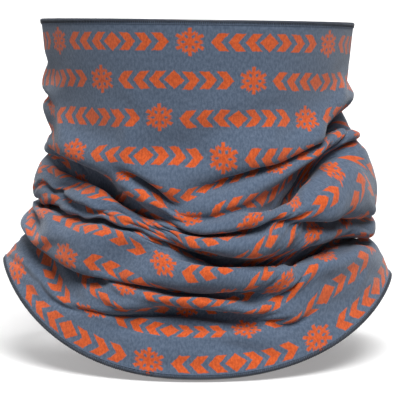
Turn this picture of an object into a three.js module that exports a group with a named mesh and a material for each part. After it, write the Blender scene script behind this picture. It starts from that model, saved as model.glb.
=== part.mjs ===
// Neck gaiter for skiing: one printed stretch-knit panel sewn into a tube, shown as it is worn.
// The collar stands round the jaw, three soft folds gather round the neck, and the drape spreads over
// the shoulders, so its hem is high at both sides and low at the chest and the back.
//
// Every piece is first drawn on a straightened tube: a radius, a height above the hem from 0 to
// STRAIGHT_HEIGHT, and an angle round the tube that is 0 at the front. worn() then places it.
// Units are millimetres, +Z is up and the front faces -Y. The origin is on the tube's axis, level with
// the lowest point of the hem.
import * as THREE from "three";

// Driving dimensions
const STRAIGHT_HEIGHT = 150; // the straightened tube, hem to rim
const RIM_HEIGHT = 201; // the fabric's rim at the front
const RIM_TILT = 13; // the rim is this much lower at each side, and twice this at the back
const SHOULDER_LIFT = 50; // how far each shoulder lifts the hem
const SHOULDER_EASE = 0.35; // rounds the hem's arch over the shoulder
const SHOULDER_POWER = 0.92; // a lower power makes the hem rise sooner from the chest
const STANDING_ARC = THREE.MathUtils.degToRad(7.5); // the level stretch of hem, each way from front and back
const HEM_DEPTH = 0.8; // front-to-back size over side-to-side size, at the hem
const NECK_DEPTH = 0.86; // the same ratio from the folds up
const AROUND = 48; // facets round every ring

const COLLAR_WALL = 3;
const DRAPE_WALL = 5;
const FOLD_INNER_RADIUS = 80;
const SEWN_GAP = 0.4; // clearance between touching pieces
const LOOPER_RADIUS = 0.9; // the rolled thread edge, six-sided, with a flat side down
const HEM_HEIGHT = SEWN_GAP + LOOPER_RADIUS * (1 + Math.sin(Math.PI / 3)); // the fabric's hem at the front
const NEEDLE_THICKNESS = 0.5;
const NEEDLE_HEIGHT = 0.9;
const NEEDLE_INSET = 2.6; // from the fabric's edge to the middle of the needle thread
const SEAM_WIDTH = 5;
const SEAM_THICKNESS = 0.6;

// Heights on the straightened tube where the fabric's zones meet
const DRAPE_TOP = 24;
const FOLD_HEIGHT = 18;
const COLLAR_BOTTOM = DRAPE_TOP + 3 * FOLD_HEIGHT;

// Colours, in sRGB
const FABRIC_BLUE = 0x5b6c86;
const EDGE_THREAD_COLOUR = 0x2b323d;
const SEAM_THREAD_COLOUR = 0x4b586d;
const LABEL_WHITE = 0xe9e9e6;

// ---- Placing a point of the straightened tube ----

function hemHeight(angle) {
  const across = Math.hypot(Math.cos(angle), SHOULDER_EASE);
  const level = Math.hypot(Math.cos(STANDING_ARC), SHOULDER_EASE);
  const share = Math.max(0, level - across) / (level - SHOULDER_EASE);
  return HEM_HEIGHT + SHOULDER_LIFT * share ** SHOULDER_POWER;
}

function rimHeight(angle) {
  return RIM_HEIGHT - RIM_TILT * (1 - Math.cos(angle));
}

function depthRatio(height) {
  const share = THREE.MathUtils.smoothstep(height, 0, COLLAR_BOTTOM);
  return THREE.MathUtils.lerp(HEM_DEPTH, NECK_DEPTH, share);
}

function worn(radius, height, angle) {
  const onFabric = THREE.MathUtils.clamp(height, 0, STRAIGHT_HEIGHT);
  const share = onFabric / STRAIGHT_HEIGHT;
  const z = THREE.MathUtils.lerp(hemHeight(angle), rimHeight(angle), share) + height - onFabric;
  return new THREE.Vector3(radius * Math.sin(angle), -radius * depthRatio(height) * Math.cos(angle), z);
}

// The fabric's outer radius: [height on the straightened tube, radius], smooth between the points
const OUTLINE = [
  [-6, 110],
  [0, 109],
  [8, 105.5],
  [17, 100],
  [DRAPE_TOP, 97],
  [COLLAR_BOTTOM, 85],
  [100, 84],
  [125, 85.5],
  [STRAIGHT_HEIGHT, 88],
  [156, 88.5],
];
const outline = new THREE.SplineCurve(OUTLINE.map(([height, radius]) => new THREE.Vector2(height, radius)));
const OUTLINE_SAMPLES = outline.getPoints(400);

function outerRadius(height) {
  const next = OUTLINE_SAMPLES.findIndex((p) => p.x >= height);
  const [a, b] = [OUTLINE_SAMPLES[next - 1], OUTLINE_SAMPLES[next]];
  return THREE.MathUtils.mapLinear(height, a.x, b.x, a.y, b.y);
}

// ---- Rings: a closed section turned round the tube ----

// Section points are Vector2(radius, height), in order down the inside and up the outside.
function ring(section) {
  const geometry = new THREE.LatheGeometry([...section, section[0].clone()], AROUND);
  const position = geometry.getAttribute("position");
  for (let i = 0; i < position.count; i++) {
    const [x, height, z] = [position.getX(i), position.getY(i), position.getZ(i)];
    const p = worn(Math.hypot(x, z), height, Math.atan2(x, z));
    position.setXYZ(i, p.x, p.y, p.z);
  }
  geometry.computeVertexNormals();
  return geometry;
}

// A wall of even thickness under the outline, between two heights
function wallSection(bottom, top, thickness, steps) {
  const outside = [];
  for (let i = 0; i <= steps; i++) {
    const height = THREE.MathUtils.lerp(bottom, top, i / steps);
    outside.push(new THREE.Vector2(outerRadius(height), height));
  }
  const inside = outside.map((p) => new THREE.Vector2(p.x - thickness, p.y)).reverse();
  return [...outside, ...inside];
}

// One soft roll of gathered fabric: flat inside against the neck, round outside
function foldOutside(bottom, radius, bulge, steps) {
  const top = bottom + FOLD_HEIGHT - SEWN_GAP;
  const points = [];
  for (let i = 0; i <= steps; i++) {
    const turn = (Math.PI * i) / steps;
    const height = THREE.MathUtils.lerp(bottom, top, (1 - Math.cos(turn)) / 2);
    points.push(new THREE.Vector2(radius + bulge * Math.sin(turn), height));
  }
  return points;
}

function foldSection(fold) {
  const outside = foldOutside(fold.bottom, fold.radius, fold.bulge, 8);
  const insideTop = new THREE.Vector2(FOLD_INNER_RADIUS, outside.at(-1).y);
  const insideBottom = new THREE.Vector2(FOLD_INNER_RADIUS, fold.bottom);
  return [...outside, insideTop, insideBottom];
}

// A thread of round section
function looperSection(radius, height) {
  const points = new THREE.EllipseCurve(radius, height, LOOPER_RADIUS, LOOPER_RADIUS).getPoints(6);
  return points.slice(0, 6);
}

// The line of needle stitches that lies on the fabric's outer face
function needleSection(height) {
  const [low, high] = [height - NEEDLE_HEIGHT / 2, height + NEEDLE_HEIGHT / 2];
  const lie = (y, off) => new THREE.Vector2(outerRadius(y) + SEWN_GAP + off, y);
  return [lie(low, NEEDLE_THICKNESS), lie(high, NEEDLE_THICKNESS), lie(high, 0), lie(low, 0)];
}

// ---- The back seam: a flat band of cover stitching along the outside ----

// outside runs upwards along the fabric, as Vector2(radius, height)
function seamBand(outside) {
  const lift = (off) => outside.map((p) => new THREE.Vector2(p.x + off, p.y));
  const section = new THREE.Shape([...lift(SEWN_GAP + SEAM_THICKNESS), ...lift(SEWN_GAP).reverse()]);
  const geometry = new THREE.ExtrudeGeometry(section, { depth: SEAM_WIDTH, bevelEnabled: false });
  const position = geometry.getAttribute("position");
  for (let i = 0; i < position.count; i++) {
    const [radius, height, along] = [position.getX(i), position.getY(i), position.getZ(i)];
    const p = worn(radius, height, Math.PI - (along - SEAM_WIDTH / 2) / radius);
    position.setXYZ(i, p.x, p.y, p.z);
  }
  geometry.computeVertexNormals();
  return geometry;
}

function outsideOfWall(bottom, top, steps) {
  return wallSection(bottom, top, COLLAR_WALL, steps).slice(0, steps + 1);
}

// ---- Assembly ----

const material = (color, roughness) => new THREE.MeshStandardMaterial({ color, roughness, metalness: 0 });
const fabric = material(FABRIC_BLUE, 0.9);
const edgeThread = material(EDGE_THREAD_COLOUR, 0.7);
const seamThread = material(SEAM_THREAD_COLOUR, 0.7);
const labelSatin = material(LABEL_WHITE, 0.5);

const gaiter = new THREE.Group();

function add(name, geometry, finish) {
  const mesh = new THREE.Mesh(geometry, finish);
  mesh.name = name;
  gaiter.add(mesh);
  return mesh;
}

// The panel's zones, from the rim down
add("collar_fabric", ring(wallSection(COLLAR_BOTTOM, STRAIGHT_HEIGHT, COLLAR_WALL, 6)), fabric);

const FOLDS = [
  { name: "upper_fold", bottom: DRAPE_TOP + 2 * FOLD_HEIGHT, radius: 86, bulge: 7 },
  { name: "middle_fold", bottom: DRAPE_TOP + FOLD_HEIGHT, radius: 90, bulge: 7.5 },
  { name: "lower_fold", bottom: DRAPE_TOP, radius: 94, bulge: 7 },
];
for (const fold of FOLDS) {
  add(`${fold.name}_fabric`, ring(foldSection(fold)), fabric);
}

const drapeTop = DRAPE_TOP - SEWN_GAP;
add("drape_fabric", ring(wallSection(0, drapeTop, DRAPE_WALL, 5)), fabric);

// The back seam, one band for each zone of the fabric
const SEAM_END = 5; // the seam stops short of the edge threads
add("collar_seam_thread", seamBand(outsideOfWall(COLLAR_BOTTOM, STRAIGHT_HEIGHT - SEAM_END, 6)), seamThread);
for (const fold of FOLDS) {
  const along = foldOutside(fold.bottom, fold.radius, fold.bulge, 8);
  add(`${fold.name}_seam_thread`, seamBand(along), seamThread);
}
add("drape_seam_thread", seamBand(outsideOfWall(SEAM_END, drapeTop, 5)), seamThread);

// The edge threads: a rolled wrap on each edge, and the needle line beside it
const wrapOffset = LOOPER_RADIUS + SEWN_GAP;
const rimMiddle = outerRadius(STRAIGHT_HEIGHT) - COLLAR_WALL / 2;
const hemMiddle = outerRadius(0) - DRAPE_WALL / 2;
add("rim_looper_thread", ring(looperSection(rimMiddle, STRAIGHT_HEIGHT + wrapOffset)), edgeThread);
add("rim_needle_thread", ring(needleSection(STRAIGHT_HEIGHT - NEEDLE_INSET)), seamThread);
add("hem_looper_thread", ring(looperSection(hemMiddle, -wrapOffset)), edgeThread);
add("hem_needle_thread", ring(needleSection(NEEDLE_INSET)), seamThread);

// The care label: a folded satin loop sewn into the seam, inside the drape at the back. It lies along
// the inner face and turns about its sewn end like a page. The bar tack reaches back to the fabric.
const LABEL = { length: 32, height: 16, leaf: 0.5, slot: 0.5, turned: 12 };
const TACK_WIDTH = 1.2;
const TACK_MARGIN = 5; // from the hem to the tack
const TACK_REACH = 2; // from the label's sewn end to the fabric at the tack's top

function drapeInside(height) {
  const p = worn(outerRadius(height) - DRAPE_WALL, height, Math.PI);
  return new THREE.Vector2(p.y - SEWN_GAP, p.z);
}

function labelLoop() {
  const thickness = 2 * LABEL.leaf + LABEL.slot;
  const section = new THREE.Shape([
    new THREE.Vector2(0, 0),
    new THREE.Vector2(LABEL.length, 0),
    new THREE.Vector2(LABEL.length, -thickness),
    new THREE.Vector2(0, -thickness),
    new THREE.Vector2(0, -thickness + LABEL.leaf),
    new THREE.Vector2(LABEL.length - LABEL.leaf, -thickness + LABEL.leaf),
    new THREE.Vector2(LABEL.length - LABEL.leaf, -LABEL.leaf),
    new THREE.Vector2(0, -LABEL.leaf),
  ]);
  return new THREE.ExtrudeGeometry(section, { depth: LABEL.height, bevelEnabled: false });
}

// The section is drawn in the Y-Z plane, so its axes are turned: drawn X to Y, drawn Y to Z, depth to X
function tackWedge(sewnEnd) {
  const low = drapeInside(TACK_MARGIN);
  const high = drapeInside(DRAPE_TOP - TACK_MARGIN);
  const section = new THREE.Shape([
    new THREE.Vector2(sewnEnd, low.y),
    low,
    high,
    new THREE.Vector2(sewnEnd, high.y),
  ]);
  const geometry = new THREE.ExtrudeGeometry(section, { depth: TACK_WIDTH, bevelEnabled: false });
  const [x, y, z] = [new THREE.Vector3(1, 0, 0), new THREE.Vector3(0, 1, 0), new THREE.Vector3(0, 0, 1)];
  const turn = new THREE.Matrix4().makeBasis(y, z, x);
  return geometry.translate(0, 0, -TACK_WIDTH / 2).applyMatrix4(turn);
}

const sewnEnd = drapeInside(DRAPE_TOP - TACK_MARGIN).x - TACK_REACH;
add("label_bar_tack", tackWedge(sewnEnd), seamThread);

const label = add("care_label", labelLoop(), labelSatin);
label.position.set(TACK_WIDTH / 2 + SEWN_GAP, sewnEnd, drapeInside(TACK_MARGIN).y);
label.rotation.z = -THREE.MathUtils.degToRad(LABEL.turned);

export default gaiter;
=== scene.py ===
import math

import bpy
import numpy as np
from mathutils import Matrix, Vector
from mathutils.bvhtree import BVHTree


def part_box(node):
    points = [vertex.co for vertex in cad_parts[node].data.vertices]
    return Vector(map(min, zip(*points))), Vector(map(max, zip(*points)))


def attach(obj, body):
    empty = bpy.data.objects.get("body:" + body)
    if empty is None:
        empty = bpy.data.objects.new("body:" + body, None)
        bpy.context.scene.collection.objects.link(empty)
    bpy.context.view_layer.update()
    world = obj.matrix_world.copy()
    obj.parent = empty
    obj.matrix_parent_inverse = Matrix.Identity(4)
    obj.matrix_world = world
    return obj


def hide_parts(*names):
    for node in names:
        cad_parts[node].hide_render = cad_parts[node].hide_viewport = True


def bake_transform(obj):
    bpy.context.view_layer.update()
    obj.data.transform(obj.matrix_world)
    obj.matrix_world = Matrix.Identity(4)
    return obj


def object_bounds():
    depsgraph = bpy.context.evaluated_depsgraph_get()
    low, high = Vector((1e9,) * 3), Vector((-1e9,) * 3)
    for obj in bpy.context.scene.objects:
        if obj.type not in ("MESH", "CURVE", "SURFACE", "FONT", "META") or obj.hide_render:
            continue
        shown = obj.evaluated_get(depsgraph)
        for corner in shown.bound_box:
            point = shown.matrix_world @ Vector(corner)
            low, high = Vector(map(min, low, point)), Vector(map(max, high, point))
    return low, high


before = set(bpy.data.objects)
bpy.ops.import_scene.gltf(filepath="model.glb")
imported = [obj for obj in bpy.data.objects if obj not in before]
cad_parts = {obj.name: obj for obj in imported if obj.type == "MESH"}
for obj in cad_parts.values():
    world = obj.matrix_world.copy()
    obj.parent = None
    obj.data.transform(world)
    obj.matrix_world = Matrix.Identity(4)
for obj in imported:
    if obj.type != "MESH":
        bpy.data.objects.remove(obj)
cad_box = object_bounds()


# ---------------------------------------------------------------------------------------------------
# The studio: a pale sweep, three soft boxes, an overhead silk, and a long lens a little above the
# rim.
# ---------------------------------------------------------------------------------------------------
MM = 0.001
low, high = (Vector(corner) for corner in cad_box)
middle = (low + high) / 2

CAMERA_LIFT = math.radians(9.5)
CAMERA_DISTANCE = 3.0
CAMERA_AIM = Vector((0.0015, 0, 0.088))
SENSOR_WIDTH = 36
VIEW_WIDTH = 0.2275
AIR_LIGHT = 0.10
AIR_SEEN = 0.93
FLOOR_PAINT = 0.30
FLOOR_SEEN = 0.70
FLOOR_GLOW = 0.30

camera_data = bpy.data.cameras.new("camera")
camera_data.sensor_width = SENSOR_WIDTH
camera_data.lens = SENSOR_WIDTH * CAMERA_DISTANCE / VIEW_WIDTH
camera = bpy.data.objects.new("camera", camera_data)
bpy.context.scene.collection.objects.link(camera)
back_off = Vector((0, -math.cos(CAMERA_LIFT), math.sin(CAMERA_LIFT)))
camera.location = CAMERA_AIM + CAMERA_DISTANCE * back_off
camera.rotation_euler = (math.pi / 2 - CAMERA_LIFT, 0, 0)
bpy.context.scene.camera = camera


def soft_box(name, place, size, watts):
    data = bpy.data.lights.new(name, "AREA")
    data.shape = "RECTANGLE"
    data.size, data.size_y = size
    data.energy = watts
    light = bpy.data.objects.new(name, data)
    bpy.context.scene.collection.objects.link(light)
    light.location = place
    light.rotation_euler = (Vector(place) - middle).to_track_quat("Z", "Y").to_euler()


soft_box("key_box", (0.25, -0.9, 0.95), (0.5, 0.5), 5)
soft_box("back_box", (-0.1, 1.6, 1.0), (2.4, 1.0), 20)
soft_box("side_box", (-1.4, 0.9, 0.8), (1.0, 0.8), 4)
sky = bpy.data.lights.new("overhead_silk", "SUN")
sky.energy = 3.1
sky.angle = math.radians(34)
silk = bpy.data.objects.new("overhead_silk", sky)
silk.rotation_euler = (math.radians(30), math.radians(6), 0)
bpy.context.scene.collection.objects.link(silk)

# The air looks bright but lights little, so that the folds stay dark inside
world = bpy.data.worlds.new("studio_air")
world.use_nodes = True
air = world.node_tree
air.nodes["Background"].inputs["Color"].default_value = (1, 1, 1, 1)
air_sight = air.nodes.new("ShaderNodeLightPath")
brightness = air.nodes.new("ShaderNodeMapRange")
brightness.inputs["To Min"].default_value = AIR_LIGHT
brightness.inputs["To Max"].default_value = AIR_SEEN
air.links.new(air_sight.outputs["Is Camera Ray"], brightness.inputs["Value"])
air.links.new(brightness.outputs[0], air.nodes["Background"].inputs["Strength"])
bpy.context.scene.world = world
bpy.context.scene.view_settings.view_transform = "Standard"

bpy.ops.object.select_all(action="DESELECT")
bpy.ops.mesh.primitive_plane_add(size=6, location=(0, 0, low.z))
sweep = bpy.context.object
sweep.name = "floor_sweep"
bpy.ops.object.transform_apply(location=True)

# The floor looks pale, with a little light through it, but throws little back under the object
sweep_paint = bpy.data.materials.new("sweep_paint")
sweep_paint.use_nodes = True
paint = sweep_paint.node_tree
sweep_shader = paint.nodes["Principled BSDF"]
sweep_shader.inputs["Roughness"].default_value = 0.9
sweep_shader.inputs["Emission Color"].default_value = (1, 1, 1, 1)
floor_sight = paint.nodes.new("ShaderNodeLightPath")
tone = paint.nodes.new("ShaderNodeMix")
tone.data_type = "RGBA"
tone.inputs["A"].default_value = (FLOOR_PAINT, FLOOR_PAINT, FLOOR_PAINT, 1)
tone.inputs["B"].default_value = (FLOOR_SEEN, FLOOR_SEEN, FLOOR_SEEN, 1)
glow = paint.nodes.new("ShaderNodeMath")
glow.operation = "MULTIPLY"
glow.inputs[1].default_value = FLOOR_GLOW
paint.links.new(floor_sight.outputs["Is Camera Ray"], tone.inputs["Factor"])
paint.links.new(floor_sight.outputs["Is Camera Ray"], glow.inputs[0])
paint.links.new(tone.outputs["Result"], sweep_shader.inputs["Base Color"])
paint.links.new(glow.outputs[0], sweep_shader.inputs["Emission Strength"])
sweep.data.materials.append(sweep_paint)


# ---------------------------------------------------------------------------------------------------
# The jersey tube: one rectangle of brushed polyester jersey, printed all over and sewn into a tube
# half a metre round. Worn, its spare length gathers into swags between the collar and the drape.
# ---------------------------------------------------------------------------------------------------
FLAT_ROUND = 0.500
FLAT_LENGTH = 0.3455
CLOTH_THICKNESS = 0.0009
AROUND = 118
ALONG = 104
COLLAR_FROM = 0.84
COLLAR_SPACING = 2.6

# The collar lies smooth, so its rows of faces stand further apart than the rows in the folds
row_spacing = np.where(np.arange(ALONG) / ALONG > COLLAR_FROM, COLLAR_SPACING, 1.0)
SHARES = np.r_[0, np.cumsum(row_spacing)] / row_spacing.sum()

# Worn shape without folds
STRAIGHT = 150 * MM
RIM_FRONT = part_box("collar_fabric")[1][2]
RIM_TILT = 11 * MM
HEM_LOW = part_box("drape_fabric")[0][2]
SHOULDER_LIFT = 47.5 * MM
SHOULDER_EASE = 0.35
HEM_CURVE = 1.1

# The wearer's left side hangs this much lower, and the right side this much higher
HEM_LEAN = 4.6 * MM
RIM_LEAN = 1.2 * MM

# Half the width at heights on the straightened tube, in mm, and the depth as a share of the width
OUTLINE = [(0, 110), (8, 106), (17, 101), (24, 99), (42, 97), (60, 92), (78, 86.5), (100, 84.5),
           (125, 85.5), (150, 88)]
DRAPE_DEPTH = 0.80
COLLAR_DEPTH = 0.86
COLLAR_START = 78 * MM


def hem_height(angle):
    across = np.hypot(np.cos(angle), SHOULDER_EASE)
    front = math.hypot(1, SHOULDER_EASE)
    share = (front - across) / (front - SHOULDER_EASE)
    lean = HEM_LEAN * np.sin(angle) * np.maximum(share, 0)
    return HEM_LOW + SHOULDER_LIFT * np.maximum(share, 0) ** HEM_CURVE - lean


def rim_height(angle):
    return RIM_FRONT - RIM_TILT * (1 - np.cos(angle)) - RIM_LEAN * np.sin(angle)


def straight_height(angle, z):
    return STRAIGHT * (z - hem_height(angle)) / (rim_height(angle) - hem_height(angle))


def smooth_outline(s):
    heights, radii = zip(*OUTLINE)
    return np.interp(s / MM, heights, radii) * MM


def depth_ratio(s):
    share = np.clip(s / COLLAR_START, 0, 1)
    return DRAPE_DEPTH + (COLLAR_DEPTH - DRAPE_DEPTH) * share * share * (3 - 2 * share)


# Each crease runs round the tube through points: degrees from the front, then height, depth and mouth
# in mm. The depth is how far it tucks in, and the mouth how far apart its two lips stay. Two more
# values may follow. Sink is 0 where the cloth above hangs over the tuck, and 1 where the cloth below
# stands in front of it like a pocket. Ramp is 0 where the upper lip is sharp, and 1 where it slopes in.
CREASES = {
    "hem_tuck": [
        (-62, 40, 0, 1), (-36, 33, 6, 2, 0, 0), (-24, 31, 15, 7, 0.2, 0), (-9, 30, 24, 15, 0.3, 0),
        (6, 30, 24, 14, 0.3, 0), (18, 30, 17, 8, 0.3, 0), (30, 29, 8, 2, 0, 0), (46, 33, 0, 1, 0, 0),
    ],
    "short_tuck": [
        (-34, 48, 0, 1, 0, 0), (-22, 46, 10, 1, 0, 0), (-5, 46, 15, 1, 0, 0), (12, 45, 18, 3, 0, 0),
        (24, 43, 20, 8, 0, 0), (33, 40, 12, 5, 0, 0), (41, 41, 0, 1, 0, 0),
    ],
    "drape_slit": [
        (-110, 72, 14, 2, 0, 0), (-86, 69, 18, 6, 0, 0), (-72, 64, 26, 11, 0, 0),
        (-60, 60, 30, 14, 0, 0), (-50, 54, 28, 13, 0, 0), (-38, 48, 18, 7, 0, 0), (-30, 48, 7, 2, 0, 0),
        (-24, 56, 0, 1, 0, 0), (-15, 69, 16, 5, 0, 0), (-5, 63, 30, 9, 0, 0), (10, 61, 32, 5, 0.3, 0),
        (26, 61, 32, 5, 1, 0.2), (42, 65, 30, 6, 1, 0.5), (58, 68, 26, 6, 1, 0.5),
        (72, 70, 20, 3, 0.6, 0.2), (92, 70, 15, 2, 0, 0), (130, 62, 18, 3, 0, 0),
        (180, 50, 22, 4, 0, 0), (220, 58, 20, 3, 0, 0), (250, 72, 14, 2, 0, 0),
    ],
    "roll_crease": [
        (-70, 92, 13, 2, 0, 0), (-54, 87, 13, 1, 0, 0), (-36, 85, 12, 1, 0, 0), (-24, 79, 13, 1, 0, 0),
        (-10, 77, 14, 1, 0, 0), (10, 78, 15, 1, 0, 0), (30, 81, 17, 1, 0, 0), (54, 82, 18, 2, 0, 0),
        (90, 82, 14, 1, 0, 0), (130, 82, 18, 2, 0, 0), (180, 72, 22, 3, 0, 0), (230, 84, 18, 2, 0, 0),
        (290, 92, 13, 2, 0, 0),
    ],
    "left_roll_dent": [
        (-84, 103, 0, 1), (-68, 99, 7, 2), (-52, 94, 9, 2), (-38, 90, 4, 1), (-30, 88, 0, 1),
    ],
    "cowl_valley": [
        (-88, 117, 3, 3, 0.4, 0), (-70, 113, 20, 13, 0.8, 0), (-56, 109, 36, 17, 1, 0.1),
        (-38, 100, 34, 13, 1, 0.8), (-26, 93, 26, 9, 1, 1), (-15, 88, 14, 5, 0.8, 0.8),
        (-4, 87, 4, 1, 0, 0), (12, 89, 6, 2, 0.4, 0), (23, 92, 16, 5, 1, 0.7), (33, 96, 30, 10, 1, 0.6),
        (46, 106, 38, 13, 1, 0.3), (57, 114, 38, 13, 1, 0.2), (67, 120, 30, 11, 0.9, 0.1),
        (76, 125, 10, 3, 0.5, 0), (90, 126, 6, 1, 0, 0), (110, 122, 8, 2, 0, 0),
        (140, 108, 18, 3, 0, 0), (180, 98, 20, 4, 0, 0), (220, 108, 18, 3, 0, 0),
        (272, 117, 3, 3, 0.4, 0),
    ],
    "left_swag": [
        (-38, 122, 0, 1), (-29, 116, 9, 3), (-19, 105, 14, 5), (-11, 94, 11, 4), (-5, 88, 0, 1),
    ],
    "right_lip": [
        (-8, 96, 0, 2), (2, 103, 7, 3), (14, 109, 11, 3), (28, 114, 13, 3), (44, 120, 13, 3),
        (56, 125, 10, 2), (66, 130, 5, 1), (74, 133, 0, 1),
    ],
    "collar_pocket": [
        (54, 136, 0, 1, 1, 0), (61, 137, 20, 12, 1, 0), (70, 138, 34, 18, 1, 0),
        (82, 138, 26, 15, 1, 0), (96, 140, 10, 5, 0.5, 0), (112, 144, 0, 1, 0, 0),
    ],
    "left_nick": [
        (-118, 152, 0, 1), (-94, 150, 11, 3), (-80, 148, 8, 2), (-64, 144, 0, 1),
    ],
    "nape_fold": [
        (128, 122, 0, 1), (150, 119, 9, 2), (172, 121, 12, 3), (196, 118, 10, 2), (222, 123, 0, 1),
    ],
}

# Where the rolls at the sides stand further out or in than the outline: degrees from the front,
# height in mm, reach in mm, half-width in degrees, half-height in mm
SWELLS = [(86, 126, 6, 32, 9), (86, 100, 7, 42, 17), (88, 152, -3, 34, 8), (-88, 128, -7, 34, 9),
          (-90, 142, 3, 24, 5), (-90, 160, -3, 30, 7), (-86, 89, -8, 40, 18)]

# The places of a point's values behind its angle
HEIGHT, DEPTH, MOUTH, SINK, RAMP = range(1, 6)
SHALLOWEST = 0.3 * MM
HEM_BAND = 6 * MM
ROOM_FOR_BELLY = 9 * MM


def around_tube(points, angle_deg, column):
    """A crease's value at an angle, smooth between its points, or 0 beyond its ends. A crease that
    spans the whole turn closes on itself."""
    table = np.array([(*point, 0, 0)[:6] for point in points], float)
    angles, values = table[:, 0], table[:, column]
    if angle_deg < angles[0]:
        angle_deg += 360
    if angle_deg > angles[-1]:
        return 0.0
    index = min(int(np.searchsorted(angles, angle_deg, side="right")) - 1, len(angles) - 2)
    share = (angle_deg - angles[index]) / (angles[index + 1] - angles[index])
    if column != HEIGHT:
        share = share * share * (3 - 2 * share)
    return float(values[index] + (values[index + 1] - values[index]) * share)


def meridian(angle):
    """The folded cloth's path up the tube at one angle, from the hem to the rim, as arrays of radius
    and height. Each crease adds the shoulder under it, its bottom, and the lip that hangs over it."""
    degrees = math.degrees(angle)
    hem, rim = float(hem_height(angle)), float(rim_height(angle))

    def outside(z):
        radius = float(smooth_outline(float(straight_height(angle, z))))
        for centre, height, reach, wide, tall in SWELLS:
            away = ((degrees - centre) / wide) ** 2 + ((z / MM - height) / tall) ** 2
            radius += reach * MM * math.exp(-away)
        return radius

    tucks = []
    for name, points in CREASES.items():
        depth = around_tube(points, degrees, DEPTH) * MM
        if depth > SHALLOWEST:
            sway = 1.1 * math.sin(5 * angle + len(name)) + 0.7 * math.sin(11 * angle + 2 * len(name))
            height = (around_tube(points, degrees, HEIGHT) + sway) * MM
            mouth = around_tube(points, degrees, MOUTH) * MM
            sink, ramp = around_tube(points, degrees, SINK), around_tube(points, degrees, RAMP)
            tucks.append((height, depth, mouth, sink, ramp))
    tucks.sort()

    path = [(outside(hem), hem), (outside(hem + HEM_BAND) + 0.5 * MM, hem + HEM_BAND)]
    for number, (height, depth, mouth, sink, ramp) in enumerate(tucks):
        # The lips stand proud of the outline, and the bottom is lifted behind a lip that hangs over
        proud = min(depth * 0.18, 2.5 * MM)
        lift = min(0.35 * depth, 6 * MM)
        lower, upper = height - mouth / 2, height + mouth / 2
        face = outside(height)

        # Close above cloth that slopes in, the next shoulder stands back as well
        recess = 0
        if number:
            under_height, under_depth, under_mouth, _, under_ramp = tucks[number - 1]
            gap = lower - (under_height + under_mouth / 2)
            closeness = min(max((26 * MM - gap) / (14 * MM), 0), 1)
            recess = min(under_ramp * closeness * 0.2 * under_depth, 0.9 * depth)
        path.append((face + proud - 0.5 * MM - recess, lower - (2.0 - 1.2 * sink) * MM))
        path.append((face - 0.35 * depth - 0.5 * recess, lower + (0.2 - 1.6 * sink) * MM))
        path.append((face - depth, height + lift - sink * (lift + mouth / 2 + 0.40 * depth)))
        path.append((face - (0.35 + 0.20 * ramp) * depth, upper + (0.8 - 1.6 * ramp) * MM))
        path.append((face + proud - ramp * (proud + 0.15 * depth), upper + 1.2 * MM + ramp * 0.15 * depth))
        if number + 1 < len(tucks):
            above_height, _, above_mouth, _, _ = tucks[number + 1]
            gap = above_height - above_mouth / 2 - path[-1][1]
            if gap > ROOM_FOR_BELLY:
                belly = path[-1][1] + 0.45 * gap
                path.append((outside(belly) + (1 - ramp) * 1.6 * proud, belly))

    # Above the highest crease the collar rises smooth to the rim
    top = path[-1][1]
    smooth_from = max(top + 14 * MM, min(rim - 40 * MM, top + 30 * MM))
    for z in np.linspace(smooth_from, rim, 5):
        path.append((outside(float(z)), float(z)))
    return spline(np.array(path))


def spline(points, samples=8):
    """A centripetal curve through the points."""
    ends = np.vstack([2 * points[0] - points[1], points, 2 * points[-1] - points[-2]])
    result = []
    for a, b, c, d in zip(ends, ends[1:], ends[2:], ends[3:]):
        t0 = 0
        t1 = t0 + math.sqrt(np.linalg.norm(b - a))
        t2 = t1 + math.sqrt(np.linalg.norm(c - b))
        t3 = t2 + math.sqrt(np.linalg.norm(d - c))
        for t in np.linspace(t1, t2, samples, endpoint=False):
            ab = (t1 - t) / (t1 - t0) * a + (t - t0) / (t1 - t0) * b
            bc = (t2 - t) / (t2 - t1) * b + (t - t1) / (t2 - t1) * c
            cd = (t3 - t) / (t3 - t2) * c + (t - t2) / (t3 - t2) * d
            abc = (t2 - t) / (t2 - t0) * ab + (t - t0) / (t2 - t0) * bc
            bcd = (t3 - t) / (t3 - t1) * bc + (t - t1) / (t3 - t1) * cd
            result.append((t2 - t) / (t2 - t1) * abc + (t - t1) / (t2 - t1) * bcd)
    result.append(points[-1])
    return np.array(result)


def spread_rows(path):
    """Points along the path, one for each row of the cloth, and the path's length."""
    walked = np.r_[0, np.cumsum(np.linalg.norm(np.diff(path, axis=0), axis=1))]
    at = SHARES * walked[-1]
    return np.column_stack([np.interp(at, walked, path[:, k]) for k in range(2)]), walked[-1]


columns = []
lengths = []
for step in range(AROUND):
    angle = 2 * math.pi * step / AROUND
    angle = angle if angle <= math.pi else angle - 2 * math.pi
    path, length = spread_rows(meridian(angle))
    columns.append((angle, path))
    lengths.append(length)

grid = np.zeros((AROUND, ALONG + 1, 3))
for i, (angle, path) in enumerate(columns):
    radius, z = path.T
    grid[i, :, 0] = radius * math.sin(angle)
    grid[i, :, 1] = -radius * depth_ratio(straight_height(angle, z)) * math.cos(angle)
    grid[i, :, 2] = z

# Ease differences between neighbouring meridians
for _ in range(2):
    beside = np.roll(grid, 1, 0) + np.roll(grid, -1, 0)
    grid[:, 1:-1] = 0.5 * grid[:, 1:-1] + 0.25 * beside[:, 1:-1]


def index(i, j):
    return (i % AROUND) * (ALONG + 1) + j


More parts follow.
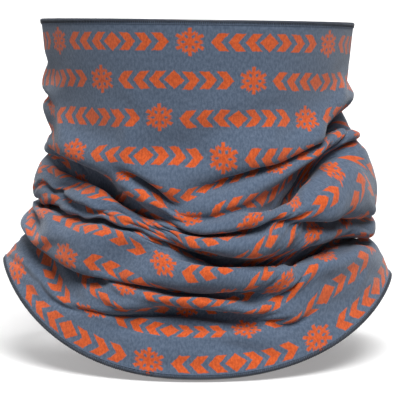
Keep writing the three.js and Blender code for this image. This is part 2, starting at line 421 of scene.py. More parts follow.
faces = [
    (index(i, j), index(i + 1, j), index(i + 1, j + 1), index(i, j + 1))
    for i in range(AROUND)
    for j in range(ALONG)
]
mesh = bpy.data.meshes.new("jersey_tube")
mesh.from_pydata(grid.reshape(-1, 3).tolist(), [], faces)
jersey = bpy.data.objects.new("jersey_tube", mesh)
bpy.context.scene.collection.objects.link(jersey)
mesh.polygons.foreach_set("use_smooth", [True] * len(mesh.polygons))

# The print on the flat cut, and how far it lies turned round the tube, in turns
ROW_PITCH = 0.0217
RIM_TO_FIRST_ROW = 0.012
REPEATS = 6
ROW_SHIFT = 0.4
FIRST_EMBLEM = -2.7 / 360
TWIST = -14 / 360
HEM_EASE = 4.4 / 360
FLAT_UNDER_RIM = 0.07
FLAT_OVER_HEM = 0.03


def lay_out_cut(cloth_mesh):
    """Gives the cloth its place on the flat cut, as a UV map in metres: U round the tube from the back
    seam, V down from the rim. The folds take up what the collar and the hem band leave."""
    cloth_mesh.uv_layers.new(name="cut")
    layer = cloth_mesh.uv_layers["cut"].data
    length = np.array(lengths)[:, None]
    share = SHARES[None, :]
    from_rim = (1 - share) * length
    from_hem = share * length
    ease = np.clip((from_rim - FLAT_UNDER_RIM) / (length - FLAT_UNDER_RIM - FLAT_OVER_HEM), 0, 1)
    down = (1 - ease) * from_rim + ease * (FLAT_LENGTH - from_hem)
    soft = ease * ease * (3 - 2 * ease)
    for polygon in cloth_mesh.polygons:
        for loop in polygon.loop_indices:
            vertex = cloth_mesh.loops[loop].vertex_index
            i, j = divmod(vertex, ALONG + 1)
            turn = i / AROUND
            if turn > 0.5 or (turn == 0.5 and polygon.index // ALONG >= AROUND // 2):
                turn -= 1
            eased = turn + soft[i, j] * (HEM_EASE * math.sin(4 * math.pi * turn) - TWIST)
            layer[loop].uv = (FLAT_ROUND * (0.5 + eased), down[i, j])


lay_out_cut(mesh)

SHORTEST_REST = 0.290
COLLAR_ROUND = 0.515
HEM_ROUND = 0.60
WIDENS_BELOW = 0.35


def flat_tube():
    """The cloth before it is worn: a straight tube, eased out towards the hem as far as the knit
    stretches over the shoulders, and nowhere shorter than the shortest rest length."""
    rest = np.zeros((AROUND, ALONG + 1, 3))
    rest_length = np.maximum(lengths, SHORTEST_REST)
    for _ in range(6):
        rest_length = 0.5 * rest_length + 0.25 * (np.roll(rest_length, 1) + np.roll(rest_length, -1))
    for i in range(AROUND):
        angle = 2 * math.pi * i / AROUND
        for j in range(ALONG + 1):
            worn_round = COLLAR_ROUND + (HEM_ROUND - COLLAR_ROUND) * max(0, 1 - SHARES[j] / WIDENS_BELOW)
            radius = worn_round / (2 * math.pi)
            rest[i, j] = (radius * math.sin(angle), -radius * math.cos(angle), rest_length[i] * SHARES[j])
    return rest.reshape(-1, 3)


FORM_ROWS = 60
FORM_SIDES = 96

# How far inside the cloth's outline the form stands, at heights on the straightened tube, in mm
FORM_INSET = [(0, 5), (12, 6), (26, 20), (40, 25), (88, 25), (102, 5), (150, 3)]


def body_form():
    """The neck and shoulders that hold the cloth out while it settles. It is removed afterwards."""
    points = []
    inset_at, insets = zip(*FORM_INSET)
    for share in np.linspace(-0.06, 1.02, FORM_ROWS):
        s = share * STRAIGHT
        radius = float(smooth_outline(s)) - np.interp(s / MM, inset_at, insets) * MM
        for side in range(FORM_SIDES):
            angle = 2 * math.pi * side / FORM_SIDES
            z = float(hem_height(angle) + share * (rim_height(angle) - hem_height(angle)))
            points.append((radius * math.sin(angle), -radius * float(depth_ratio(s)) * math.cos(angle), z))
    quads = []
    for row in range(FORM_ROWS - 1):
        low_row, high_row = row * FORM_SIDES, (row + 1) * FORM_SIDES
        for side in range(FORM_SIDES):
            beside = (side + 1) % FORM_SIDES
            quads.append((low_row + side, low_row + beside, high_row + beside, high_row + side))
    form_mesh = bpy.data.meshes.new("body_form")
    form_mesh.from_pydata(points, [], quads)
    form = bpy.data.objects.new("body_form", form_mesh)
    bpy.context.scene.collection.objects.link(form)
    form.modifiers.new("solid", "COLLISION")
    form.collision.thickness_outer = 0.001
    form.collision.thickness_inner = 0.01
    form.collision.cloth_friction = 20
    return form


SETTLE_FRAMES = 9
HELD_AT_RIM = 0.012
HELD_AT_HEM = 0.005
EASED_BELOW_RIM = 0.05


def settle(cloth_object, frames):
    """Lets the gathered cloth fall into its folds under its own weight, held at the rim and the hem."""
    form = body_form()
    cloth_object.shape_key_add(name="Basis")
    key = cloth_object.shape_key_add(name="flat_tube")
    key.data.foreach_set("co", flat_tube().ravel())
    key.value = 0

    held = cloth_object.vertex_groups.new(name="held")
    for j in range(ALONG + 1):
        from_rim = (1 - SHARES[j]) * FLAT_LENGTH
        from_hem = SHARES[j] * FLAT_LENGTH
        if from_rim < HELD_AT_RIM or from_hem < HELD_AT_HEM:
            weight = 1.0
        elif from_rim < EASED_BELOW_RIM:
            weight = 0.5 * (EASED_BELOW_RIM - from_rim) / (EASED_BELOW_RIM - HELD_AT_RIM)
        else:
            weight = 0
        if weight > 0:
            held.add([index(i, j) for i in range(AROUND)], weight, "REPLACE")

    modifier = cloth_object.modifiers.new("settle", "CLOTH")
    settings = modifier.settings
    settings.quality = 5
    settings.mass = 0.0003
    settings.tension_stiffness = 8
    settings.compression_stiffness = 8
    settings.shear_stiffness = 1.5
    settings.bending_stiffness = 0.6
    settings.tension_damping = 4
    settings.compression_damping = 4
    settings.shear_damping = 4
    settings.bending_damping = 0.5
    settings.air_damping = 2
    settings.rest_shape_key = key
    settings.vertex_group_mass = "held"
    settings.pin_stiffness = 1
    modifier.collision_settings.use_collision = True
    modifier.collision_settings.distance_min = 0.0012
    modifier.collision_settings.use_self_collision = True
    modifier.collision_settings.self_distance_min = 0.0013
    modifier.collision_settings.collision_quality = 2
    scene = bpy.context.scene
    scene.frame_start = 1
    scene.frame_end = frames + 1
    modifier.point_cache.frame_start = 1
    modifier.point_cache.frame_end = frames + 1
    for number in range(1, frames + 1):
        scene.frame_set(number)
    settled = cloth_object.evaluated_get(bpy.context.evaluated_depsgraph_get())
    points = np.zeros(len(cloth_object.data.vertices) * 3)
    settled.data.vertices.foreach_get("co", points)
    cloth_object.modifiers.remove(modifier)
    cloth_object.shape_key_clear()
    cloth_object.data.vertices.foreach_set("co", points)
    cloth_object.vertex_groups.clear()
    bpy.data.objects.remove(form)
    scene.frame_set(1)


settle(jersey, SETTLE_FRAMES)

bpy.ops.object.select_all(action="DESELECT")
jersey.select_set(True)
bpy.context.view_layer.objects.active = jersey
settled = np.zeros(len(mesh.vertices) * 3)
mesh.vertices.foreach_get("co", settled)
settled = settled.reshape(AROUND, ALONG + 1, 3)
fine = jersey.modifiers.new("fine", "SUBSURF")
fine.levels = fine.render_levels = 1
fine.uv_smooth = "NONE"
bpy.ops.object.modifier_apply(modifier=fine.name)

# Kept for the sewing: the middle of the cloth
surface = BVHTree.FromPolygons(
    [vertex.co.copy() for vertex in mesh.vertices],
    [tuple(polygon.vertices) for polygon in mesh.polygons],
)

wall = jersey.modifiers.new("wall", "SOLIDIFY")
wall.thickness = CLOTH_THICKNESS
wall.offset = 0
wall.use_even_offset = False
wall.material_offset = 1
wall.material_offset_rim = 1
bpy.ops.object.modifier_apply(modifier=wall.name)


class Nodes:
    """A material's or a node group's nodes, added and joined in one call each."""

    def __init__(self, tree):
        self.tree = tree

    def add(self, kind, settings=None, **inputs):
        node = self.tree.nodes.new(kind)
        for name, value in (settings or {}).items():
            setattr(node, name, value)
        for name, value in inputs.items():
            self.join(value, node.inputs[int(name[1:]) if name[0] == "_" else name])
        return node

    def join(self, value, socket):
        if isinstance(value, bpy.types.NodeSocket):
            self.tree.links.new(value, socket)
        else:
            socket.default_value = value

    def math(self, operation, a, b=0.0, c=0.0):
        return self.add("ShaderNodeMath", {"operation": operation}, _0=a, _1=b, _2=c).outputs[0]

    def step(self, value, low_edge, high_edge):
        """0 below low_edge, 1 above high_edge, smooth between; the edges may fall."""
        node = self.add("ShaderNodeMapRange", {"interpolation_type": "SMOOTHSTEP"},
                        _0=value, _1=low_edge, _2=high_edge, _3=0.0, _4=1.0)
        return node.outputs[0]

    def mix(self, share, a, b):
        node = self.add("ShaderNodeMix", {"data_type": "RGBA"})
        self.join(share, node.inputs["Factor"])
        self.join(a, node.inputs["A"])
        self.join(b, node.inputs["B"])
        return node.outputs["Result"]


def new_group(name, inputs, outputs):
    group = bpy.data.node_groups.new(name, "ShaderNodeTree")
    for label, kind, value in inputs:
        socket = group.interface.new_socket(label, in_out="INPUT", socket_type=kind)
        if value is not None:
            socket.default_value = value
    for label, kind in outputs:
        group.interface.new_socket(label, in_out="OUTPUT", socket_type=kind)
    nodes = Nodes(group)
    start = nodes.add("NodeGroupInput")
    end = nodes.add("NodeGroupOutput")
    return group, nodes, start, end


def crystal_and_chevrons():
    """The all-over print, as a mask: in every row a six-armed snow crystal, then a band of chevrons
    that point away from a diamond. Each row is set on from the one above."""
    emblem, band_middle = 32.0, 9.7
    group, n, start, end = new_group(
        "crystal_and_chevrons",
        [("Cut", "NodeSocketVector", None), ("Blur", "NodeSocketFloat", 0.3)],
        [("Print", "NodeSocketFloat")],
    )
    split = n.add("ShaderNodeSeparateXYZ", _0=start.outputs["Cut"])
    along, down = split.outputs[0], split.outputs[1]
    blur = start.outputs["Blur"]
    rows = n.math("DIVIDE", n.math("SUBTRACT", down, RIM_TO_FIRST_ROW - ROW_PITCH / 2), ROW_PITCH)
    row = n.math("FLOOR", rows)
    y = n.math("MULTIPLY", n.math("SUBTRACT", n.math("FRACT", rows), 0.5), ROW_PITCH / MM)
    repeat = FLAT_ROUND / REPEATS
    turns = n.math("SUBTRACT", n.math("DIVIDE", along, repeat), n.math("MULTIPLY", row, ROW_SHIFT))
    start_at = emblem / (repeat / MM) - 0.5 + REPEATS * (0.5 + FIRST_EMBLEM)
    turns = n.math("SUBTRACT", turns, start_at)
    x = n.math("MULTIPLY", n.math("SUBTRACT", n.math("FRACT", turns), 0.5), repeat / MM)

    # Crystal: one sixth of it, turned round the middle
    ex = n.math("ADD", x, emblem)
    reach = n.math("SQRT", n.math("ADD", n.math("MULTIPLY", ex, ex), n.math("MULTIPLY", y, y)))
    sixth = math.pi / 3
    angle = n.math("ARCTAN2", ex, y)
    turned = n.math("SUBTRACT", n.math("FLOORED_MODULO", n.math("ADD", angle, sixth / 2), sixth), sixth / 2)
    out = n.math("MULTIPLY", reach, n.math("COSINE", turned))
    aside = n.math("ABSOLUTE", n.math("MULTIPLY", reach, n.math("SINE", turned)))
    arm = n.math("SUBTRACT", 0.95, aside)
    arm = n.math("MINIMUM", arm, n.math("SUBTRACT", 7.9, out))
    barb = n.math("ABSOLUTE", n.math("SUBTRACT", n.math("MULTIPLY", n.math("SUBTRACT", out, 3.7), 0.866),
                                     n.math("MULTIPLY", aside, 0.5)))
    barb = n.math("MINIMUM", n.math("SUBTRACT", 0.75, barb), n.math("SUBTRACT", 2.9, aside))
    heart = n.math("SUBTRACT", 2.2, out)
    crystal = n.math("MAXIMUM", n.math("MAXIMUM", arm, barb), heart)

    # Band: chevrons point out from a diamond in its middle
    bx = n.math("ABSOLUTE", n.math("SUBTRACT", x, band_middle))
    height = n.math("ABSOLUTE", y)
    slant = n.math("ADD", bx, n.math("MULTIPLY", height, 0.8))
    first, period = 6.2, 8.9
    wave = n.math("FLOORED_MODULO", n.math("SUBTRACT", slant, first), period)
    chevron = n.math("SUBTRACT", 2.6, n.math("ABSOLUTE", n.math("SUBTRACT", wave, period / 2)))
    chevron = n.math("MINIMUM", chevron, n.math("SUBTRACT", slant, first))
    chevron = n.math("MINIMUM", chevron, n.math("SUBTRACT", first + 3 * period, slant))
    chevron = n.math("MINIMUM", chevron, n.math("SUBTRACT", 5.0, height))
    diamond = n.math("SUBTRACT", 5.4, n.math("ADD", bx, height))
    band = n.math("MAXIMUM", chevron, diamond)

    inside = n.math("MAXIMUM", crystal, band)
    n.join(n.step(inside, n.math("MULTIPLY", blur, -1.0), blur), end.inputs["Print"])
    return group


def knit_surface():
    """Jersey's fine V-shaped stitches as a height, and its heather: light and dark fibres mixed."""
    group, n, start, end = new_group(
        "knit_surface",
        [("Cut", "NodeSocketVector", None), ("Wale", "NodeSocketFloat", 0.0009)],
        [("Height", "NodeSocketFloat"), ("Heather", "NodeSocketFloat"), ("Fuzz", "NodeSocketFloat")],
    )
    split = n.add("ShaderNodeSeparateXYZ", _0=start.outputs["Cut"])
    wale = start.outputs["Wale"]
    across = n.math("DIVIDE", split.outputs[0], wale)
    down = n.math("DIVIDE", split.outputs[1], wale)
    bend = n.math("ABSOLUTE", n.math("SUBTRACT", n.math("FRACT", across), 0.5))
    rib = n.math("SINE", n.math("MULTIPLY", bend, 2 * math.pi))
    course = n.math("FRACT", n.math("SUBTRACT", n.math("MULTIPLY", down, 1.25), bend))
    stitch = n.math("SINE", n.math("MULTIPLY", course, math.pi))
    raised = n.math("MULTIPLY", rib, n.math("ADD", n.math("MULTIPLY", stitch, 0.6), 0.4))
    n.join(raised, end.inputs["Height"])
    streaks = n.add("ShaderNodeMapping", _3=(900.0, 420.0, 1.0), Vector=start.outputs["Cut"])
    fibres = n.add("ShaderNodeTexNoise", Vector=streaks.outputs[0], Scale=1.0, Detail=3.0, Roughness=0.7)
    n.join(n.step(fibres.outputs[0], 0.32, 0.68), end.inputs["Heather"])
    fuzz = n.add("ShaderNodeTexNoise", Vector=start.outputs["Cut"], Scale=420.0, Detail=4.0, Roughness=0.65)
    n.join(fuzz.outputs[0], end.inputs["Fuzz"])
    return group


PRINT = crystal_and_chevrons()
KNIT = knit_surface()


def jersey_finish(name, ink, pale):
    """ink is how strongly the print shows, and pale how far the cloth has gone towards white."""
    paint = bpy.data.materials.new(name)
    paint.use_nodes = True
    n = Nodes(paint.node_tree)
    shader = paint.node_tree.nodes["Principled BSDF"]
    cut = n.add("ShaderNodeUVMap", {"uv_map": "cut"}).outputs[0]

    knit = n.add("ShaderNodeGroup", {"node_tree": KNIT}, Cut=cut)

    # The fibres carry the ink a little past its edges
    wobble = n.add("ShaderNodeTexNoise", Vector=cut, Scale=700.0, Detail=2.0).outputs[1]
    shift = n.add("ShaderNodeVectorMath", {"operation": "SUBTRACT"}, _0=wobble, _1=(0.5, 0.5, 0.5))
    shift = n.add("ShaderNodeVectorMath", {"operation": "SCALE"}, _0=shift.outputs[0], Scale=0.0011)
    frayed = n.add("ShaderNodeVectorMath", {"operation": "ADD"}, _0=cut, _1=shift.outputs[0])
    printed = n.add("ShaderNodeGroup", {"node_tree": PRINT}, Cut=frayed.outputs[0], Blur=0.35)

    blue = n.mix(knit.outputs["Heather"], (0.060, 0.091, 0.145, 1), (0.112, 0.152, 0.222, 1))
    orange = n.mix(knit.outputs["Heather"], (0.47, 0.066, 0.010, 1), (0.70, 0.113, 0.018, 1))
    cover = n.math("MULTIPLY", printed.outputs["Print"], n.step(knit.outputs["Fuzz"], 0.18, 0.34))
    coloured = n.mix(n.math("MULTIPLY", cover, ink), blue, orange)
    n.join(n.mix(pale, coloured, (0.52, 0.55, 0.60, 1)), shader.inputs["Base Color"])
    rough = n.add("ShaderNodeMapRange", _0=knit.outputs["Fuzz"], _3=0.80, _4=0.98)
    n.join(rough.outputs[0], shader.inputs["Roughness"])
    stitches = n.math("MULTIPLY", knit.outputs["Height"], 0.6)
    relief = n.math("ADD", stitches, n.math("MULTIPLY", knit.outputs["Fuzz"], 0.9))
    bump = n.add("ShaderNodeBump", Height=relief, Strength=0.35, Distance=0.0004)
    n.join(bump.outputs[0], shader.inputs["Normal"])
    shader.inputs["Sheen Weight"].default_value = 0.25
    shader.inputs["Sheen Roughness"].default_value = 0.6
    shader.inputs["Specular IOR Level"].default_value = 0.15
    return paint


mesh.materials.append(jersey_finish("printed_face", 1.0, 0.0))
mesh.materials.append(jersey_finish("brushed_inside", 0.35, 0.22))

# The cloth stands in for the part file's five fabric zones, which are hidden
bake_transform(jersey)
ZONES = ("collar", "upper_fold", "middle_fold", "lower_fold", "drape")
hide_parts(*[f"{zone}_fabric" for zone in ZONES])


# ---------------------------------------------------------------------------------------------------
# The edge threads: both raw edges are overlocked. Two dark looper threads wrap the edge from face to
# face, and a needle thread in the cloth's own colour holds them down a little way in.
# ---------------------------------------------------------------------------------------------------
THREAD = 0.26 * MM
OVERLOCK_PITCH = 1.15 * MM
OVERLOCK_BITE = 1.7 * MM
EDGE_REACH = 0.45 * MM
NEEDLE_STITCH = 2.3 * MM


def fibre_twist():
    """A sewing thread's fuzz and its light and dark fibres."""
    group, n, start, end = new_group(
        "fibre_twist",
        [("Place", "NodeSocketVector", None), ("Scale", "NodeSocketFloat", 2200.0)],
        [("Height", "NodeSocketFloat"), ("Shade", "NodeSocketFloat")],
    )
    place, scale = start.outputs["Place"], start.outputs["Scale"]
    twist = n.add("ShaderNodeTexNoise", Vector=place, Scale=scale, Detail=3.0).outputs[0]
    broad = n.add("ShaderNodeTexNoise", Vector=place, Scale=180.0, Detail=2.0).outputs[0]
    n.join(twist, end.inputs["Height"])
    shade = n.math("ADD", n.math("MULTIPLY", twist, 0.6), n.math("MULTIPLY", broad, 0.4))
    n.join(n.step(shade, 0.32, 0.68), end.inputs["Shade"])
    return group


FIBRE_TWIST = fibre_twist()


def thread_finish(name, dark, light, roughness=0.72):
    paint = bpy.data.materials.new(name)
    paint.use_nodes = True
    n = Nodes(paint.node_tree)
    shader = paint.node_tree.nodes["Principled BSDF"]
    place = n.add("ShaderNodeTexCoord").outputs["Object"]
    fibre = n.add("ShaderNodeGroup", {"node_tree": FIBRE_TWIST}, Place=place)
    n.join(n.mix(fibre.outputs["Shade"], dark, light), shader.inputs["Base Color"])
    bump = n.add("ShaderNodeBump", Height=fibre.outputs["Height"], Strength=0.5, Distance=0.0001)
    n.join(bump.outputs[0], shader.inputs["Normal"])
    shader.inputs["Roughness"].default_value = roughness
    shader.inputs["Sheen Weight"].default_value = 0.2
    return paint


navy_thread = thread_finish("navy_thread", (0.012, 0.017, 0.028, 1), (0.040, 0.052, 0.078, 1))
cloth_thread = thread_finish("cloth_thread", (0.060, 0.088, 0.140, 1), (0.110, 0.150, 0.220, 1))


def sew(name, runs, radius, material, closed=False):
    """Lays threads along runs of points, as one mesh of round threads."""
    curve = bpy.data.curves.new(name, "CURVE")
    curve.dimensions = "3D"
    curve.bevel_depth = radius
    curve.bevel_resolution = 1
    curve.use_fill_caps = not closed
    for run in runs:
        line = curve.splines.new("POLY")
        line.points.add(len(run) - 1)
        line.points.foreach_set("co", np.column_stack([run, np.ones(len(run))]).ravel())
        line.use_cyclic_u = closed
    thread = bpy.data.objects.new(name, curve)
    bpy.context.scene.collection.objects.link(thread)
    bpy.ops.object.select_all(action="DESELECT")
    thread.select_set(True)
    bpy.context.view_layer.objects.active = thread
    bpy.ops.object.convert(target="MESH")
    thread = bpy.context.object
    bpy.ops.object.shade_smooth()
    thread.data.materials.clear()
    thread.data.materials.append(material)
    return thread


def edge_frames(row, inwards):
    """Along one edge of the cloth: points an even step apart, the way out of the edge, and the way
    that the cloth's face looks."""
    ring = np.vstack([settled[:, row], settled[:1, row]])
    inner = np.vstack([settled[:, row + inwards], settled[:1, row + inwards]])
    steps = np.r_[0, np.cumsum(np.linalg.norm(np.diff(ring, axis=0), axis=1))]

    def at(distances):
        distances = np.mod(distances, steps[-1])
        edge = np.column_stack([np.interp(distances, steps, ring[:, k]) for k in range(3)])
        below = np.column_stack([np.interp(distances, steps, inner[:, k]) for k in range(3)])
        out = edge - below
        out /= np.linalg.norm(out, axis=1)[:, None]
        ahead = np.roll(edge, -1, 0) - np.roll(edge, 1, 0)
        face = np.cross(ahead, out) * inwards
        face /= np.linalg.norm(face, axis=1)[:, None]
        return edge, out, -face

    return at, steps[-1]


def overlock(name, row, inwards):
    at, length = edge_frames(row, inwards)
    count = 2 * round(length / (2 * OVERLOCK_PITCH))
    fine_steps = 6
    turns = np.arange(count * fine_steps) / fine_steps
    edge, out, face = at(turns * length / count)
    runs = []
    for offset in (0, 1):
        swing = np.cos(math.pi * (turns + offset))
        wrap = np.abs(np.sin(math.pi * (turns + offset)))
        side = (CLOTH_THICKNESS / 2 + THREAD) * np.clip(swing * 2.5, -1, 1)
        reach = -OVERLOCK_BITE + (OVERLOCK_BITE + EDGE_REACH + 0.5 * offset * THREAD) * wrap
        runs.append(edge + out * reach[:, None] + face * side[:, None])
    return sew(name, runs, THREAD, navy_thread, closed=True)


def needle_line(name, row, inwards):
    at, length = edge_frames(row, inwards)
    count = round(length / NEEDLE_STITCH)
    runs = []
    for number in range(count):
        along = (number + np.array([0.06, 0.2, 0.5, 0.8, 0.94])) * length / count
        edge, out, face = at(along)
        rise = np.array([-0.1, 0.8, 1.0, 0.8, -0.1]) * THREAD + CLOTH_THICKNESS / 2
        runs.append(edge - out * (OVERLOCK_BITE + 0.3 * MM) + face * rise[:, None])
    return sew(name, runs, 0.85 * THREAD, cloth_thread)


sewn_on = []
for edge_name, row, inwards, body in (("rim", ALONG, -1, "collar"), ("hem", 0, 1, "drape")):
    wrap = overlock(f"{edge_name}_overlock", row, inwards)
    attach(wrap, body)
    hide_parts(f"{edge_name}_looper_thread")
    line = needle_line(f"{edge_name}_needle_stitches", row, inwards)
    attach(line, body)
    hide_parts(f"{edge_name}_needle_thread")
    sewn_on += [wrap, line]


# ---------------------------------------------------------------------------------------------------
# The back seam: the panel's two sides butt together under a flatlock. A cover thread zigzags over the
# join between two needle lines, from the hem to the rim, and follows the cloth into every fold.
# ---------------------------------------------------------------------------------------------------
SEAM_WIDTH = 4.6 * MM
COVER_PITCH = 1.5 * MM


def seam_track():
    middle_line = settled[AROUND // 2]
    dense = spline(middle_line, 10)
    steps = np.r_[0, np.cumsum(np.linalg.norm(np.diff(dense, axis=0), axis=1))]
    distances = np.arange(2.5 * MM, steps[-1] - 2.5 * MM, COVER_PITCH / 3)
    line = np.column_stack([np.interp(distances, steps, dense[:, k]) for k in range(3)])
    places, faces_out = [], []
    for point in line:
        place, normal, _, _ = surface.find_nearest(Vector(point))
        places.append(place)
        faces_out.append(normal)
    places, faces_out = np.array(places), np.array(faces_out)
    for _ in range(3):
        faces_out[1:-1] = 0.5 * faces_out[1:-1] + 0.25 * (faces_out[:-2] + faces_out[2:])
    faces_out /= np.linalg.norm(faces_out, axis=1)[:, None]
    ahead = np.gradient(places, axis=0)
    aside = np.cross(faces_out, ahead)
    aside /= np.linalg.norm(aside, axis=1)[:, None]
    return places, faces_out, aside


def flatlock():
    places, faces_out, aside = seam_track()
    lift = CLOTH_THICKNESS / 2 + 0.6 * THREAD
    phase = np.arange(len(places)) / 3
    swing = 2 * np.abs(2 * (phase / 2 - np.floor(phase / 2 + 0.5))) - 1
    runs = []
    for way in (1, -1):
        swung = aside * (way * swing * SEAM_WIDTH / 2)[:, None]
        runs.append(places + faces_out * (lift + 0.3 * THREAD * way) + swung)
    for side in (-0.5, 0, 0.5):
        bob = np.abs(np.sin(math.pi * phase / 2))[:, None]
        runs.append(places + faces_out * (lift + THREAD * bob) + aside * side * SEAM_WIDTH)
    return sew("back_flatlock", runs, 0.9 * THREAD, cloth_thread)


seam = flatlock()
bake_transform(seam)
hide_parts(*[f"{zone}_seam_thread" for zone in ZONES])


# ---------------------------------------------------------------------------------------------------
# The care label: a strip of woven satin folded in half, with its two ends caught in the seam just
# above the hem. It lies along the inside of the drape and turns on its sewn end like a page.
# ---------------------------------------------------------------------------------------------------
label_low, label_high = (Vector(corner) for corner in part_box("care_label"))
LABEL_TURN = math.radians(12)
LABEL_HEIGHT = label_high.z - label_low.z
LABEL_LENGTH = (label_high.x - label_low.x) / math.cos(LABEL_TURN) - 0.4 * MM
LABEL_LEAF = 0.22 * MM
LABEL_GAP = 0.5 * MM
LABEL_CURL = 1.0 * MM


def satin_strip():
    """The strip's middle line seen from above, from one sewn end round the fold to the other, as
    points (along, across) and the distance walked."""
    fold = LABEL_LENGTH - LABEL_GAP
    out = [(x, 0.0) for x in np.linspace(0, fold, 30)]
    bend = [
        (fold + 0.5 * LABEL_GAP * math.sin(turn), -0.5 * LABEL_GAP * (1 - math.cos(turn)))
        for turn in np.linspace(0, math.pi, 9)[1:-1]
    ]
    home = [(x, -LABEL_GAP) for x in np.linspace(fold, 0, 30)]
    line = np.array(out + bend + home)
    walked = np.r_[0, np.cumsum(np.linalg.norm(np.diff(line, axis=0), axis=1))]
    return line, walked


def care_label():
    line, walked = satin_strip()
    rows = 13
    sewn_end = Vector((label_low.x + 0.1 * MM, label_high.y - 0.5 * MM, 0))
    points, corners = [], []
    for (along, across), distance in zip(line, walked):
        for up in np.linspace(0, 1, rows):
            share = along / LABEL_LENGTH
            wave = math.sin(math.pi * share) * (0.6 - up) + 0.25 * math.sin(2.2 * math.pi * share)
            sideways = across + LABEL_CURL * wave
            x = along * math.cos(LABEL_TURN) + sideways * math.sin(LABEL_TURN)
            y = -along * math.sin(LABEL_TURN) + sideways * math.cos(LABEL_TURN)
            points.append((sewn_end.x + x, sewn_end.y + y, label_low.z + up * LABEL_HEIGHT))
            corners.append((distance, up * LABEL_HEIGHT))
    quads = [
        (k * rows + r, k * rows + r + 1, (k + 1) * rows + r + 1, (k + 1) * rows + r)
        for k in range(len(line) - 1)
        for r in range(rows - 1)
    ]
    label_mesh = bpy.data.meshes.new("care_label_satin")
    label_mesh.from_pydata(points, [], quads)
    uv = label_mesh.uv_layers.new(name="strip").data
    for loop in label_mesh.loops:
        uv[loop.index].uv = corners[loop.vertex_index]
    label_mesh.polygons.foreach_set("use_smooth", [True] * len(quads))
    label = bpy.data.objects.new("care_label_satin", label_mesh)
    bpy.context.scene.collection.objects.link(label)
    bpy.ops.object.select_all(action="DESELECT")
    label.select_set(True)
    bpy.context.view_layer.objects.active = label
    leaf = label.modifiers.new("leaf", "SOLIDIFY")
    leaf.thickness = LABEL_LEAF
    leaf.offset = 0
    bpy.ops.object.modifier_apply(modifier=leaf.name)
    return label, walked[-1]


def satin_finish():
    paint = bpy.data.materials.new("woven_satin")
    paint.use_nodes = True
    n = Nodes(paint.node_tree)
    shader = paint.node_tree.nodes["Principled BSDF"]
    strip = n.add("ShaderNodeUVMap", {"uv_map": "strip"}).outputs[0]
    split = n.add("ShaderNodeSeparateXYZ", _0=strip)
    along = n.math("DIVIDE", split.outputs[0], MM)
    up = n.math("DIVIDE", split.outputs[1], MM)
    diagonal = n.math("ADD", along, n.math("MULTIPLY", up, 2.0))
    weave = n.math("SINE", n.math("MULTIPLY", diagonal, 2 * math.pi / 0.5))
    # Plain care signs in a row: a ring, a square and a triangle, seven millimetres apart
    sign = n.math("FLOOR", n.math("DIVIDE", n.math("SUBTRACT", along, 5.0), 7.0))
    x = n.math("SUBTRACT", n.math("SUBTRACT", along, 8.5), n.math("MULTIPLY", sign, 7.0))
    y = n.math("SUBTRACT", up, 8.0)
    wide, tall = n.math("ABSOLUTE", x), n.math("ABSOLUTE", y)
    ring = n.math("SQRT", n.math("ADD", n.math("MULTIPLY", x, x), n.math("MULTIPLY", y, y)))
    square = n.math("MAXIMUM", wide, tall)
    triangle = n.math("MAXIMUM", n.math("ADD", n.math("MULTIPLY", wide, 0.87), n.math("MULTIPLY", y, 0.5)),
                      n.math("MULTIPLY", y, -1.2))
    is_second = n.math("COMPARE", sign, 1.0, 0.1)
    is_third = n.math("COMPARE", sign, 2.0, 0.1)
    edge = n.add("ShaderNodeMix", {"data_type": "FLOAT"}, _0=is_second, _2=ring, _3=square).outputs[0]
    edge = n.add("ShaderNodeMix", {"data_type": "FLOAT"}, _0=is_third, _2=edge, _3=triangle).outputs[0]
    line = n.step(n.math("ABSOLUTE", n.math("SUBTRACT", edge, 2.0)), 0.32, 0.18)
    shown = n.math("MULTIPLY", n.math("GREATER_THAN", along, 5.0), n.math("LESS_THAN", along, 26.0))
    ink = n.math("MULTIPLY", line, shown)
    satin = n.mix(n.step(weave, -0.6, 0.6), (0.68, 0.68, 0.66, 1), (0.80, 0.80, 0.78, 1))
    n.join(n.mix(ink, satin, (0.10, 0.11, 0.13, 1)), shader.inputs["Base Color"])
    rough = n.add("ShaderNodeMapRange", _0=weave, _1=-1.0, _3=0.34, _4=0.5)
    n.join(rough.outputs[0], shader.inputs["Roughness"])
    bump = n.add("ShaderNodeBump", Height=weave, Strength=0.25, Distance=0.00005)
    n.join(bump.outputs[0], shader.inputs["Normal"])
    shader.inputs["Sheen Weight"].default_value = 0.1
    return paint


label, strip_length = care_label()
label.data.materials.append(satin_finish())
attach(label, "label")
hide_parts("care_label")


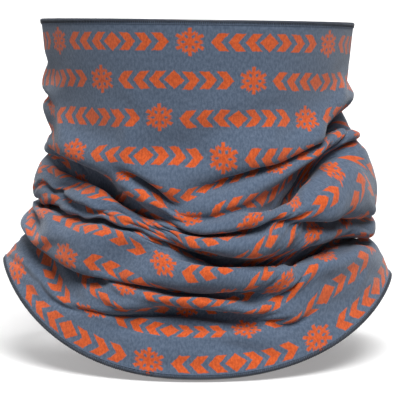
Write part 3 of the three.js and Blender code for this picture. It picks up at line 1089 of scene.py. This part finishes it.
# ---------------------------------------------------------------------------------------------------
# The label's bar tack: the seam allowance is pinched over the label's sewn ends and held by a dense
# zigzag of the seam's thread, so that the label can swing but not pull out.
# ---------------------------------------------------------------------------------------------------
tack_low, tack_high = (Vector(corner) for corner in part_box("label_bar_tack"))
TACK_PITCH = 0.42 * MM
TACK_MARGIN = 0.6 * MM
TACK_WIDE = 0.45 * MM
TACK_NEAR = 0.25 * MM
TACK_FAR = 1.9 * MM
ALLOWANCE_TOP = 2.6 * MM
ALLOWANCE_THICKNESS = 0.8 * MM


def bar_tack():
    """A zigzag over the allowance, which reaches from the cloth to the label's end."""
    rise = tack_high.z - tack_low.z - 2 * TACK_MARGIN
    count = int(rise / TACK_PITCH)
    runs = []
    for side in (-1, 1):
        zigzag = []
        for number in range(count):
            z = tack_low.z + TACK_MARGIN + number * TACK_PITCH
            near = (side * TACK_WIDE, tack_low.y + TACK_NEAR, z)
            far = (side * TACK_WIDE, tack_low.y + TACK_FAR, z + TACK_PITCH / 2)
            zigzag += [near, far]
        runs.append(np.array(zigzag))
    return sew("label_tack_stitches", runs, 0.8 * THREAD, cloth_thread)


tack = bar_tack()
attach(tack, "drape")


def seam_allowance():
    """The pinched cloth under the tack: it fills the space between the drape and the label."""
    bpy.ops.object.select_all(action="DESELECT")
    bpy.ops.mesh.primitive_plane_add(size=1)
    tab = bpy.context.object
    tab.name = "seam_allowance"
    corners = [
        (0, tack_low.y, tack_low.z),
        (0, tack_high.y, tack_low.z),
        (0, tack_low.y, tack_high.z),
        (0, tack_low.y + ALLOWANCE_TOP, tack_high.z),
    ]
    for vertex, corner in zip(tab.data.vertices, corners):
        vertex.co = corner
    bpy.ops.object.mode_set(mode="EDIT")
    bpy.ops.mesh.select_all(action="SELECT")
    bpy.ops.mesh.subdivide(number_cuts=12)
    bpy.ops.object.mode_set(mode="OBJECT")
    wall = tab.modifiers.new("wall", "SOLIDIFY")
    wall.thickness = ALLOWANCE_THICKNESS
    wall.offset = 0
    bpy.ops.object.modifier_apply(modifier=wall.name)
    soft = tab.modifiers.new("soft", "BEVEL")
    soft.width = 0.2 * MM
    soft.segments = 2
    bpy.ops.object.modifier_apply(modifier=soft.name)
    bpy.ops.object.shade_smooth()
    return tab


allowance = seam_allowance()
allowance_jersey = thread_finish("allowance_jersey", (0.075, 0.110, 0.170, 1), (0.125, 0.168, 0.245, 1), 0.9)
allowance.data.materials.append(allowance_jersey)
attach(allowance, "drape")
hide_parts("label_bar_tack")
